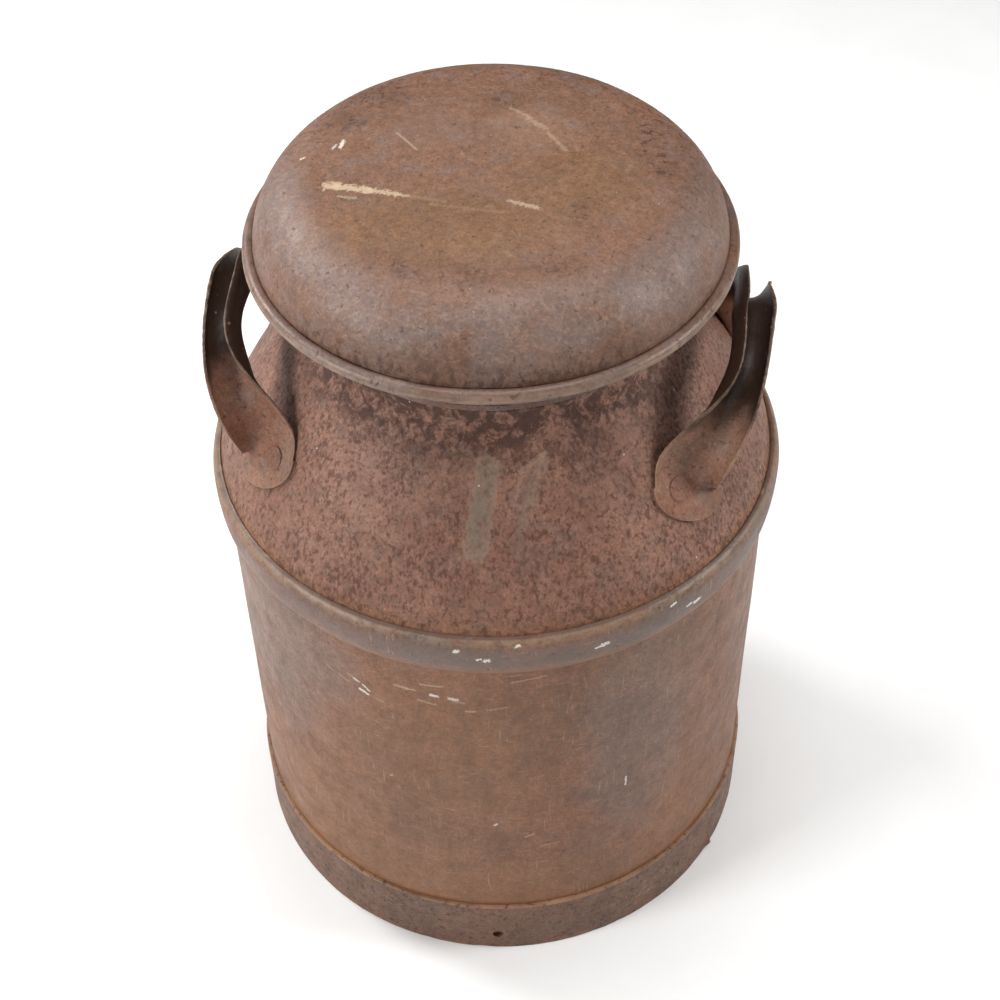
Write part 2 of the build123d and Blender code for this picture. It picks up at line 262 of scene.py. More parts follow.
def fray(piece, level, within, size, height):
    """Makes a level edge uneven: points near this height move up or down."""
    for v in piece.data.vertices:
        near = 1 - abs(v.co.z - level) / within
        if near > 0:
            v.co.z += height * near * noise.noise(Vector((v.co.x, v.co.y, 0)) / size)


# ---- materials ----
def tone(red, green, blue):
    """Linear colour from a screen colour of 0 to 255."""
    return tuple((c / 255) ** 2.2 for c in (red, green, blue)) + (1.0,)


class Finish:
    """A material with one Principled shader, and short ways to add nodes to it."""

    def __init__(self, name):
        self.material = bpy.data.materials.new(name)
        self.material.use_nodes = True
        self.tree = self.material.node_tree
        self.tree.nodes.clear()
        self.place = self.node("ShaderNodeTexCoord").outputs["Object"]
        self.x, self.y, self.z = self.node("ShaderNodeSeparateXYZ", self.place).outputs
        self.colour = None
        self.height = 0.0
        self.rough = 0.5

    def node(self, kind, *inputs, **settings):
        made = self.tree.nodes.new(kind)
        for key, setting in settings.items():
            setattr(made, key, setting)
        for socket, given in zip(made.inputs, inputs):
            self.put(socket, given)
        return made

    def put(self, socket, given):
        if isinstance(given, bpy.types.NodeSocket):
            self.tree.links.new(given, socket)
        elif given is not None:
            socket.default_value = given

    def sum(self, operation, a, b=0.0, c=0.0):
        return self.node("ShaderNodeMath", a, b, c, operation=operation).outputs[0]

    def times(self, a, b):
        return self.sum("MULTIPLY", a, b)

    def vector(self, operation, a, b=(0, 0, 0)):
        made = self.node("ShaderNodeVectorMath", a, b, operation=operation)
        return made.outputs["Value" if operation in ("LENGTH", "DOT_PRODUCT") else "Vector"]

    def radius(self):
        """Distance from the can's axis."""
        return self.vector("LENGTH", self.node("ShaderNodeCombineXYZ", self.x, self.y).outputs[0])

    def step(self, value, low, high):
        """0 below low and 1 above high, smooth between. With low above high it falls."""
        made = self.node("ShaderNodeMapRange", interpolation_type="SMOOTHSTEP")
        for name, given in (("Value", value), ("From Min", low), ("From Max", high)):
            self.put(made.inputs[name], given)
        return made.outputs["Result"]

    def noise(self, size, detail=3.0, rough=0.5, distort=0.0, stretch=(1, 1, 1), seed=0.0):
        place = self.vector("MULTIPLY_ADD", self.place, stretch)
        self.put(place.node.inputs[2], (seed, 2 * seed, -seed))
        made = self.node("ShaderNodeTexNoise")
        given = {"Vector": place, "Scale": 1 / size, "Detail": detail, "Roughness": rough,
                 "Distortion": distort}
        for name, value in given.items():
            self.put(made.inputs[name], value)
        return made.outputs["Fac"]

    def specks(self, size, radius, seed=0.0):
        """Scattered round dots: size is the spacing, radius a share of it."""
        place = self.vector("ADD", self.place, (seed, -seed, seed))
        made = self.node("ShaderNodeTexVoronoi")
        self.put(made.inputs["Vector"], place)
        self.put(made.inputs["Scale"], 1 / size)
        return self.step(made.outputs["Distance"], radius, radius * 0.5)

    def mix(self, share, a, b, blend="MIX"):
        made = self.node("ShaderNodeMix", data_type="RGBA", blend_type=blend)
        self.put(made.inputs[0], share)
        self.put(made.inputs[6], a)
        self.put(made.inputs[7], b)
        return made.outputs[2]

    def shade(self, value, dark, light):
        """From dark to light as a noise goes from low to high, such as a grey to multiply a colour with."""
        made = self.node("ShaderNodeMapRange")
        for name, given in (("Value", value), ("From Min", NOISE_LOW), ("From Max", NOISE_HIGH),
                            ("To Min", dark), ("To Max", light)):
            self.put(made.inputs[name], given)
        return made.outputs["Result"]

    def tint(self, share, colour):
        """Turns the hue toward a colour and keeps the mottling."""
        self.colour = self.mix(share, self.colour, colour, "COLOR")

    def paint(self, share, colour, height=0.0, rough=None):
        """Lays a colour over the finish where share is above 0."""
        self.colour = self.mix(share, self.colour, colour)
        if height:
            self.height = self.sum("MULTIPLY_ADD", share, height, self.height)
        if rough is not None:
            gap = self.sum("SUBTRACT", rough, self.rough)
            self.rough = self.sum("MULTIPLY_ADD", share, gap, self.rough)

    def zone(self, flat, centre, radii, soft=0.6, wobble=0.5, size=18 * MM):
        """Soft patch round a centre. flat is the pair of axes that it is drawn on, such as "xz"."""
        gap = self.flat_offset(flat, centre)
        scaled = self.vector("DIVIDE", gap, (*radii, 1))
        reach_out = self.vector("LENGTH", scaled)
        ragged = self.sum("MULTIPLY_ADD", self.noise(size, 4, 0.6), wobble, -wobble / 2)
        edge = self.sum("ADD", reach_out, ragged)
        return self.front(flat, self.step(edge, 1 + soft / 2, 1 - soft / 2))

    def stroke(self, flat, start, end, width, soft=0.3, wobble=1.0, size=3 * MM):
        """Streak between two places, with ragged sides."""
        start, end = Vector((*start, 0)), Vector((*end, 0))
        run = end - start
        gap = self.flat_offset(flat, start[:2])
        share = self.sum("DIVIDE", self.vector("DOT_PRODUCT", gap, run), run.length_squared)
        share.node.use_clamp = True
        near = self.node("ShaderNodeVectorMath", tuple(run), operation="SCALE")
        self.put(near.inputs["Scale"], share)
        away = self.vector("LENGTH", self.vector("SUBTRACT", gap, near.outputs[0]))
        half = width / 2
        ragged = self.sum("MULTIPLY_ADD", self.noise(size, 3, 0.6), wobble * width, -wobble * half)
        edge = self.sum("ADD", away, ragged)
        return self.front(flat, self.step(edge, half * (1 + soft), half * (1 - soft)))

    def flat_offset(self, flat, centre):
        axes = {"x": self.x, "y": self.y, "z": self.z}
        made = self.node("ShaderNodeCombineXYZ", axes[flat[0]], axes[flat[1]]).outputs[0]
        return self.vector("SUBTRACT", made, (*centre, 0))

    def front(self, flat, share):
        """Keeps what is drawn on x and z on the front, where y is below 0."""
        return self.times(share, self.sum("LESS_THAN", self.y, 0.0)) if flat == "xz" else share

    def done(self, specular=0.5, metallic=0.0):
        """Joins colour, roughness and height to the shader. height is in metres."""
        shader = self.node("ShaderNodeBsdfPrincipled")
        self.put(shader.inputs["Base Color"], self.colour)
        self.put(shader.inputs["Roughness"], self.rough)
        shader.inputs["Metallic"].default_value = metallic
        shader.inputs["Specular IOR Level"].default_value = specular
        bump = self.node("ShaderNodeBump")
        self.put(bump.inputs["Height"], self.height)
        bump.inputs["Distance"].default_value = 1.0
        self.put(shader.inputs["Normal"], bump.outputs[0])
        out = self.node("ShaderNodeOutputMaterial")
        self.tree.links.new(shader.outputs[0], out.inputs["Surface"])
        return self.material


# colours of the rusted tin
BROWN = tone(120, 86, 69)
RED_BROWN = tone(128, 88, 73)
ORANGE = tone(142, 97, 66)
GREY_BROWN = tone(112, 92, 84)
BLUE_GREY = tone(120, 108, 106)
DARK = tone(70, 43, 33)
FLECK = tone(84, 52, 40)
SOOT = tone(46, 34, 29)
BEIGE = tone(182, 158, 132)
# pale colour of real wear, also used for painted highlights and glints
WORN_AND_HIGHLIGHT = tone(160, 132, 112)
CHALK = tone(222, 214, 206)
OLD_PAINT = tone(126, 116, 100)


def rusted(name, base, warm, cool, grain=1.0, smooth=0.5):
    """Start of every finish: broad patches, blotches, mottling, fine grain and a few faint stains."""
    f = Finish(name)
    patches = f.noise(60 * MM, 3, 0.6, 0.6)
    blotches = f.noise(13 * MM, 6, 0.68, seed=3.1)
    grains = f.noise(1.3 * MM, 4, 0.7, seed=1.7)
    soft = f.noise(4.0 * MM, 4, 0.65, seed=5.2)
    broad = f.noise(32 * MM, 4, 0.6, seed=8.8)
    f.colour = f.mix(f.step(patches, 0.42, 0.62), base, warm)
    f.colour = f.mix(f.times(f.step(blotches, 0.48, 0.66), 0.6), f.colour, cool)
    f.colour = f.mix(1.0, f.colour, f.shade(broad, 0.91, 1.09), "MULTIPLY")
    f.colour = f.mix(1.0, f.colour, f.shade(soft, 1 - 0.15 * grain, 1 + 0.15 * grain), "MULTIPLY")
    f.colour = f.mix(1.0, f.colour, f.shade(grains, 1 - 0.24 * grain, 1 + 0.22 * grain), "MULTIPLY")
    f.height = f.sum("MULTIPLY_ADD", grains, 0.10 * MM * grain, f.times(soft, 0.16 * MM))
    f.rough = f.shade(blotches, smooth - 0.05, smooth + 0.12)
    return f


def pitted(f, size, low, high, share=1.0, depth=0.12, colour=DARK, seed=7.3, stretch=(1, 1, 1)):
    """Dark pits where a fine noise is above low, all of them where it is above high."""
    level = f.noise(size, 3, 0.6, 0.5, stretch, seed)
    f.paint(f.times(f.step(level, low, high), share), colour, -depth * MM, 0.7)


def dusted(f, spacing=9 * MM, radius=0.045, colour=BEIGE, seed=2.2):
    """A few pale specks."""
    f.paint(f.times(f.specks(spacing, radius, seed), 0.8), colour)


def scratched(f, colour=BEIGE, strength=0.35, width=1.1 * MM, shift=0.0):
    """Fine pale scratches in two directions."""
    for stretch, seed in (((1, 1, 0.07), 4.1 + shift), ((0.12, 0.12, 1), 8.4 + shift)):
        level = f.noise(width, 1.5, 0.5, 0.3, stretch, seed)
        places = f.step(f.noise(22 * MM, 3, 0.6, seed=seed + 1), 0.46, 0.64)
        f.paint(f.times(f.times(f.step(level, 0.62, 0.72), places), strength), colour)


def draw_marks(f, flat, rows):
    """Strokes from rows of (start, end, width, share, colour), in millimetres."""
    for start, end, width, share, colour in rows:
        grit = max(0.8, width / 2) * MM
        mark = f.stroke(flat, in_mm(start), in_mm(end), width * MM, 0.5, 2.2, grit)
        f.paint(f.times(mark, share), colour, 0.03 * MM, 0.6)


def lid_top_finish():
    f = rusted("lid_top_rust", tone(116, 85, 68), tone(118, 86, 69), GREY_BROWN, smooth=0.5)
    ochre = tone(134, 98, 70)
    f.tint(f.times(f.zone("xy", in_mm((-15, -46)), in_mm((46, 24)), 1.0), 0.8), ochre)
    f.tint(f.times(f.zone("xy", in_mm((40, -8)), in_mm((26, 26)), 1.0), 0.8), ochre)
    f.paint(f.times(f.zone("xy", in_mm((14, 32)), in_mm((18, 16)), 1.2, 1.4, 7 * MM), 0.16), WORN_AND_HIGHLIGHT)
    f.paint(f.times(f.zone("xy", in_mm((-28, 24)), in_mm((20, 14)), 1.2, 1.0), 0.30), GREY_BROWN)
    # painted reflection on the front of the shoulder: a bluish sheen, and small bright glints painted on it
    radius = f.radius()
    shoulder = f.times(f.step(radius, 80 * MM, 98 * MM), f.step(radius, 112 * MM, 104 * MM))
    front = f.step(f.y, 60 * MM, -30 * MM)
    painted_sheen = f.times(shoulder, f.step(f.noise(26 * MM, 4, 0.6, seed=9), 0.34, 0.60))
    f.tint(f.times(f.times(painted_sheen, front), 0.5), BLUE_GREY)
    f.paint(f.times(f.times(painted_sheen, front), 0.2), tone(124, 106, 98), 0, 0.40)
    painted_glints = f.times(f.step(f.noise(2.4 * MM, 5, 0.7, 0.4, seed=12), 0.52, 0.62), shoulder)
    f.paint(f.times(f.times(painted_glints, front), 0.36), WORN_AND_HIGHLIGHT)
    # dark fringe above the rim at the front
    fringe = f.times(f.step(f.z, LID_TOP - 22 * MM, LID_TOP - 30 * MM), f.step(f.y, -60 * MM, -95 * MM))
    ragged = f.step(f.noise(4 * MM, 5, 0.7, 0.6, (1, 1, 0.5), 6.6), 0.46, 0.58)
    f.paint(f.times(f.times(fringe, ragged), 0.6), DARK, -0.1 * MM, 0.7)
    pitted(f, 2.6 * MM, 0.60, 0.70, 0.6)
    # crowded pits toward the back, and in spots of (centre, radii, share)
    edge = f.step(radius, 56 * MM, 84 * MM)
    back = f.times(edge, f.step(f.y, -30 * MM, 30 * MM))
    many = f.step(f.noise(3.4 * MM, 4, 0.65, 0.7, seed=14), 0.52, 0.62)
    f.paint(f.times(f.times(many, back), 0.5), DARK, -0.1 * MM, 0.7)
    for centre, radii, share in (
            ((71, 29), (6, 18), 0.8), ((78, 10), (5, 8), 0.7), ((-71, 29), (11, 8), 0.5),
            ((-55, 56), (18, 9), 0.6), ((-33, -71), (9, 7), 0.6), ((-5, -75), (17, 8), 0.5),
            ((36, -67), (12, 7), 0.5), ((44, -25), (5, 9), 0.7), ((0, 52), (12, 9), 0.5)):
        spot = f.zone("xy", in_mm(centre), in_mm(radii), 1.2, 1.2, 6 * MM)
        f.paint(f.times(spot, 0.14), SOOT)
        f.paint(f.times(f.times(many, spot), share), DARK, -0.12 * MM, 0.7)
    draw_marks(f, "xy", (
        # the long scratch at the left, broad at its start
        ((-70, -19.3), (-66, -19.8), 4.8, 0.85, BEIGE), ((-66, -19.8), (-50, -22.6), 3.8, 0.85, BEIGE),
        ((-50, -22.6), (-38, -25.2), 3.0, 0.75, BEIGE), ((-38, -25.2), (-33, -26.2), 1.6, 0.6, BEIGE),
        ((-33, -26), (-16, -28.5), 1.8, 0.22, WORN_AND_HIGHLIGHT),
        # the second, right of it, with its faint trails
        ((12, -25), (25, -29.2), 2.2, 0.6, BEIGE), ((-12, -15), (11, -24.5), 5.0, 0.30, GREY_BROWN),
        ((-22, -31), (10, -33.5), 1.6, 0.22, WORN_AND_HIGHLIGHT),
        # nicks at the left
        ((-69.5, 9), (-69, 14), 1.6, 0.7, CHALK), ((-73, 8), (-72, 11), 1.2, 0.5, CHALK),
        ((-87, 2), (-85, 3), 1.2, 0.6, CHALK), ((-45, 20), (-34, 8), 1.2, 0.4, BEIGE),
        # rubbed streaks behind the middle
        ((5, 44), (14, 38), 1.8, 0.3, BEIGE), ((14, 36), (22, 30), 3.0, 0.28, BEIGE),
        ((24, 26), (33, 14), 2.0, 0.28, BEIGE), ((-64, -27), (-56, -28), 1.4, 0.4, BEIGE)))
    dusted(f)
    dusted(f, 6 * MM, 0.05, WORN_AND_HIGHLIGHT, 6.1)
    scratched(f, WORN_AND_HIGHLIGHT, 0.22)
    return f.done(specular=0.42)


def lid_inner_finish():
    f = rusted("lid_rim_rust", tone(100, 78, 68), tone(106, 78, 64), GREY_BROWN, smooth=0.42)
    radius = f.radius()
    # painted highlight: a pale, glossier band along the outer edge of the rolled rim
    painted_rim_highlight = f.step(radius, LID_RIM_R - 1.6 * MM, LID_RIM_R)
    f.paint(f.times(painted_rim_highlight, f.shade(f.noise(9 * MM, 4, 0.6), 0.1, 0.6)), WORN_AND_HIGHLIGHT, 0, 0.36)
    pitted(f, 2.6 * MM, 0.60, 0.68, 0.7)
    dusted(f)
    return f.done(specular=0.6)


def breast_finish():
    f = rusted("breast_rust", tone(131, 93, 77), tone(142, 104, 87), tone(120, 97, 86), smooth=0.54)
    # long flecks of three sizes, crowded in places
    crowding = f.sum("MULTIPLY_ADD", f.noise(34 * MM, 3, 0.5, seed=2), 0.22, -0.11)
    for size, seed, low, share in ((2.6, 7.7, 0.51, 0.72), (1.8, 11.3, 0.52, 0.55), (4.6, 4.2, 0.54, 0.15)):
        level = f.sum("ADD", f.noise(size * MM, 3, 0.5, 0.3, (1.2, 1.2, 0.6), seed), crowding)
        f.paint(f.times(f.step(level, low, low + 0.13), share), FLECK, -0.12 * MM, 0.68)
    pale = f.step(f.noise(5.5 * MM, 4, 0.6, 0.3, seed=17), 0.54, 0.68)
    f.paint(f.times(pale, 0.30), tone(158, 122, 106))
    # a dark pitted band under the lid's rim at the front, and a warm line above the hoop
    neck = f.times(f.step(f.z, BREAST_TOP - 30 * MM, BREAST_TOP - 12 * MM), f.step(f.y, -10 * MM, -60 * MM))
    dark_band = f.step(f.noise(6.5 * MM, 5, 0.7, 0.6, seed=15), 0.40, 0.56)
    f.paint(f.times(f.times(neck, dark_band), 0.86), tone(62, 38, 30), -0.12 * MM, 0.7)
    foot = f.step(f.z, BODY_TOP + 9 * MM, BODY_TOP + 1 * MM)
    f.tint(f.times(foot, 0.5), ORANGE)
    # a smear of old paint with worn edges, and fainter strokes beside it
    smear = f.stroke("xz", in_mm((9.5, 343)), in_mm((6.5, 313)), 10 * MM, 0.35, 0.7, 3 * MM)
    thin = f.shade(f.noise(4 * MM, 4, 0.65, seed=19), 0.2, 0.75)
    f.paint(f.times(smear, thin), OLD_PAINT, 0.05 * MM, 0.55)
    rim = f.times(smear, f.sum("SUBTRACT", 1.0, smear))
    f.paint(f.times(rim, 1.2), WORN_AND_HIGHLIGHT)
    draw_marks(f, "xz", (
        ((33, 344), (27, 324), 6.0, 0.30, OLD_PAINT), ((25, 342), (34, 347), 2.6, 0.45, WORN_AND_HIGHLIGHT),
        ((34, 346), (30, 330), 1.8, 0.35, WORN_AND_HIGHLIGHT), ((25, 342), (23, 330), 1.6, 0.35, WORN_AND_HIGHLIGHT),
        ((27, 312), (38, 306), 8.0, 0.22, GREY_BROWN), ((25, 318), (27, 304), 5.0, 0.20, GREY_BROWN)))
    dusted(f, 7 * MM, 0.05, WORN_AND_HIGHLIGHT)
    dusted(f, 16 * MM, 0.035, CHALK, 5.5)
    return f.done(specular=0.4)


def hoop_finish():
    f = rusted("hoop_rust", BROWN, tone(106, 86, 74), GREY_BROWN, grain=1.0, smooth=0.46)
    # painted highlight in patches along the ridge, darker face, black crease at the breast, warm foot
    ridge = f.step(f.z, HOOP_TOP - 5.0 * MM, HOOP_TOP - 2.2 * MM)
    # the ragged patches where the highlight is painted
    worn = f.step(f.noise(7 * MM, 5, 0.65, 0.3, (1, 1, 2.5), 3.3), 0.36, 0.56)
    f.paint(f.times(f.times(ridge, worn), 0.45), tone(150, 130, 108), 0, 0.4)
    below_ridge = f.step(f.z, HOOP_TOP - 4 * MM, HOOP_TOP - 8 * MM)
    face = f.times(below_ridge, f.step(f.z, HOOP_BOTTOM + 1 * MM, HOOP_BOTTOM + 6 * MM))
    f.paint(f.times(face, 0.35), tone(98, 80, 74))
    crease = f.step(f.z, HOOP_TOP - 1.1 * MM, HOOP_TOP - 0.3 * MM)
    f.paint(f.times(crease, 0.7), DARK)
    low = f.step(f.z, HOOP_BOTTOM + 5 * MM, HOOP_BOTTOM - 4 * MM)
    f.paint(f.times(low, 0.6), ORANGE)
    pitted(f, 2.4 * MM, 0.64, 0.70, 0.6)
    # white flecks of (x, z, width) in millimetres
    for x, z, width in ((-1.5, 268.5, 1.8), (9, 263.6, 1.4), (12.5, 262.6, 2.2), (26.8, 271.6, 1.2),
                        (66, 262.8, 2.4), (63, 261.8, 1.2), (96.5, 270, 1.3), (107.4, 261.6, 2.2),
                        (104, 262.5, 1.3)):
        fleck = f.stroke("xz", in_mm((x, z)), in_mm((x + 1.5, z + 0.5)), width * MM, 0.4, 2.0, 1 * MM)
        f.paint(fleck, CHALK, 0.06 * MM, 0.6)
    dusted(f, 6 * MM, 0.06)
    scratched(f)
    return f.done(specular=0.5)


def body_finish():
    f = rusted("body_rust", tone(117, 80, 57), tone(125, 83, 58), tone(108, 78, 62), grain=1.1, smooth=0.46)
    # broad warm and grey areas of (centre, radii, share, colour)
    for centre, radii, share, colour in (
            ((-85, 70), (60, 55), 0.55, ORANGE), ((-12, 175), (55, 60), 0.40, ORANGE),
            ((112, 80), (26, 60), 0.45, ORANGE), ((84, 175), (24, 80), 0.40, GREY_BROWN),
            ((-108, 205), (30, 60), 0.45, GREY_BROWN), ((20, 60), (60, 22), 0.40, ORANGE),
            ((-72, 222), (20, 26), 0.35, GREY_BROWN)):
        spot = f.zone("xz", in_mm(centre), in_mm(radii), 1.1, 0.9, 30 * MM)
        f.tint(f.times(spot, share * 1.2), colour)
        f.paint(f.times(spot, share * 0.4), colour)
    streaks = f.noise(6 * MM, 4, 0.6, 0.2, (1, 1, 0.12), 4.4)
    f.colour = f.mix(1.0, f.colour, f.shade(streaks, 0.95, 1.05), "MULTIPLY")
    pitted(f, 2.0 * MM, 0.60, 0.70, 0.45)
    low = f.step(f.z, FOOT_TOP + 9 * MM, FOOT_TOP)
    f.paint(f.times(low, 0.45), ORANGE)
    scratched(f, BEIGE, 0.30)
    scratched(f, BEIGE, 0.22, 0.6 * MM, 3.7)
    draw_marks(f, "xz", (
        # chips and scratches below the hoop
        ((-70, 220.5), (-66, 219), 1.0, 0.6, WORN_AND_HIGHLIGHT), ((-63, 218.5), (-58, 216.5), 1.2, 0.7, WORN_AND_HIGHLIGHT),
        ((-52, 214.5), (-48, 213), 1.4, 0.9, CHALK), ((-55, 221), (-52, 220), 1.0, 0.9, CHALK),
        ((-50, 219), (-47, 216), 1.0, 0.8, CHALK), ((-58, 223), (-55, 222), 1.0, 0.6, WORN_AND_HIGHLIGHT),
        ((-44, 212), (-40, 211.5), 1.2, 0.6, WORN_AND_HIGHLIGHT), ((-33, 228), (-27, 228), 1.5, 0.55, BEIGE),
        ((-27, 227.5), (-23, 228), 1.1, 0.6, BEIGE), ((-20, 233.5), (-9, 234.5), 1.2, 0.55, BEIGE),
        ((-15, 226.6), (-12, 226.4), 1.6, 0.9, CHALK), ((-6, 226), (-2.5, 225.5), 1.8, 0.7, CHALK),
        ((-4, 224), (1, 223.5), 1.4, 0.6, WORN_AND_HIGHLIGHT), ((-22, 221), (-13, 219.5), 1.4, 0.45, BEIGE),
        ((2, 217), (6, 217.2), 1.2, 0.6, BEIGE), ((12, 219), (22, 221), 1.2, 0.30, BEIGE),
        # single ones further down and right
        ((80, 132), (80, 139), 0.9, 0.8, CHALK), ((30, 108), (34, 110), 1.0, 0.7, BEIGE),
        ((38, 98), (47, 99), 0.9, 0.35, BEIGE), ((-40, 150), (-39, 151), 1.2, 0.7, BEIGE),
        ((14, 120), (15, 121), 1.2, 0.8, CHALK), ((24, 240), (40, 243), 1.0, 0.4, BEIGE)))
    dusted(f, 8 * MM, 0.045)
    return f.done(specular=0.38)


def foot_finish():
    f = rusted("foot_rust", tone(104, 76, 61), tone(114, 80, 62), tone(92, 72, 62), grain=1.3, smooth=0.5)
    # painted highlight: a pale line along the band's top edge
    edge = f.step(f.z, FOOT_TOP - 1.6 * MM, FOOT_TOP - 0.5 * MM)
    f.paint(f.times(edge, f.shade(f.noise(12 * MM, 4, 0.6), 0.35, 0.9)), tone(158, 122, 94))
    pitted(f, 3.0 * MM, 0.57, 0.66, 0.7)
    scuffs = f.zone("xz", (100 * MM, 16 * MM), (22 * MM, 10 * MM), wobble=1.4, size=6 * MM)
    bits = f.step(f.noise(2.4 * MM, 4, 0.7, 0.4, seed=21), 0.57, 0.63)
    f.paint(f.times(f.times(scuffs, bits), 0.7), WORN_AND_HIGHLIGHT)
    low = f.step(f.z, 7 * MM, 1 * MM)
    f.paint(f.times(f.times(low, f.step(f.noise(5 * MM, 4, 0.7), 0.45, 0.6)), 0.6), ORANGE)
    dusted(f, 6 * MM, 0.05)
    return f.done(specular=0.4)


def handle_finish():
    f = rusted("handle_rust", tone(132, 98, 80), tone(134, 94, 76), tone(120, 98, 88), smooth=0.44)
    # near-black high on each bow: partly soot, partly painted shade in the trough
    high = f.sum("MULTIPLY_ADD", f.noise(16 * MM, 4, 0.6), 16 * MM, f.z)
    lower = f.times(f.step(f.x, 0.0, 10 * MM), 4 * MM)
    soot_and_shade = f.step(f.sum("ADD", high, lower), 349 * MM, 363 * MM)
    f.paint(f.times(soot_and_shade, 0.92), tone(44, 32, 26), 0, 0.45)
    pitted(f, 2.8 * MM, 0.60, 0.68, 0.6)
    # painted highlight: pale colour on the sharp lips of the strap
    geometry = f.node("ShaderNodeNewGeometry")
    edges = f.step(geometry.outputs["Pointiness"], 0.515, 0.555)
    f.paint(f.times(edges, f.shade(f.noise(5 * MM, 3, 0.6), 0.25, 0.75)), WORN_AND_HIGHLIGHT, 0, 0.4)
    dusted(f, 7 * MM, 0.05)
    return f.done(specular=0.3)


def rivet_finish():
    f = rusted("rivet_rust", BROWN, RED_BROWN, GREY_BROWN, smooth=0.5)
    pitted(f, 2.0 * MM, 0.56, 0.66, 0.6)
    return f.done(specular=0.4)


def solder_finish():
    f = rusted("solder_tin", GREY_BROWN, BROWN, BLUE_GREY, grain=0.8, smooth=0.5)
    pitted(f, 1.8 * MM, 0.60, 0.68, 0.7)
    return f.done(specular=0.5)


def wire_finish():
    f = rusted("wire_rust", DARK, BROWN, DARK, smooth=0.6)
    return f.done(specular=0.3)


# ---- lid ----
def lid_relief(place):
    flat = rumple(place, 55 * MM, 0.45 * MM, 1.0) + rumple(place, 18 * MM, 0.12 * MM, 4.0)
    marks = pocks(place, 4.2 * MM, 0.10 * MM, 0.12, 2.0) + rumple(place, 3.2 * MM, 0.03 * MM)
    dents = sum(dent(place, (x, y, LID_TOP), size, depth) for x, y, size, depth in LID_DENTS)
    return flat + marks + dents


def make_lid_dome(material):
    """Umbrella top: a level middle, an easy curve and the round shoulder down to the rim."""
    rim_z = LID_RIM_BOTTOM + LID_RIM_BEAD
    bend = (DOME_R - DOME_BEND, rim_z + 0.3 * MM)
    shoulder = arc(bend, DOME_BEND, DOME_TURN, 5)
    slope = Vector((sin(radians(DOME_TURN)), -cos(radians(DOME_TURN))))
    crown = curve((LID_FLAT_R, LID_TOP), (LID_FLAT_R + DOME_EASE, LID_TOP),
                  shoulder[0] - slope * DOME_EASE, shoulder[0])
    outline = joined(line((0, LID_TOP), (LID_FLAT_R, LID_TOP)), crown, shoulder)
    piece = turned("lid_dome_sheet", sheet_loop(outline), lid_relief, "lid", ["lid_dome"],
                   material)
    fray(piece, outline[-1].y, 2 * MM, 5 * MM, 0.7 * MM)


def make_lid_rim(material):
    """Rolled rim and the collar that goes up inside the dome."""
    centre = Vector((LID_RIM_R - LID_RIM_BEAD, LID_RIM_BOTTOM + LID_RIM_BEAD))
    collar_in, collar_out = DOME_R - 2 * SHEET, DOME_R - SHEET
    lean = degrees(acos((collar_out - centre.x) / LID_RIM_BEAD))
    bead = arc(centre, LID_RIM_BEAD, lean, -180, 0.8 * MM)
    top = centre.y + LID_COLLAR
    loop = solid_loop(bead, [(collar_in, centre.y), (collar_in, top), (collar_out, top)])
    relief = lambda place: rumple(place, 22 * MM, 0.16 * MM, 3.0) + rumple(place, 5 * MM, 0.05 * MM)
    turned("lid_rim_roll", loop, relief, "lid", ["lid_rim"], material)


def make_lid_plug(material):
    """Tapered wall of the plug with its flange, and the disc that closes it."""
    outer, low, high = reach("lid_plug")
    seat = high - SHEET
    flange_r, wall_top = PLUG_TOP_R + PLUG_CHAMFER, seat - PLUG_CHAMFER
    outline = joined(line((outer, seat), (flange_r, seat)), line((flange_r, seat), (PLUG_TOP_R, wall_top)),
                     line((PLUG_TOP_R, wall_top), (PLUG_END_R, low)))
    relief = lambda place: rumple(place, 30 * MM, 0.2 * MM, 6.0) + pocks(place, 4 * MM, 0.05 * MM, 0.2)
    turned("lid_plug_wall", sheet_loop(outline), relief, "lid", ["lid_plug"], material)
    edge, floor, rim = reach("lid_plug_bottom")
    inside = min(edge, PLUG_END_R - SHEET)
    foot = inside - 0.3 * MM
    disc = joined(line((inside, rim), (foot, floor)), line((foot, floor), (0, floor)))
    relief = lambda place: rumple(place, 40 * MM, 0.5 * MM, 7.0) + pocks(place, 4 * MM, 0.06 * MM, 0.2)
    turned("lid_plug_disc", sheet_loop(disc, back_step=1), relief, "lid", ["lid_plug_bottom"],
           material)


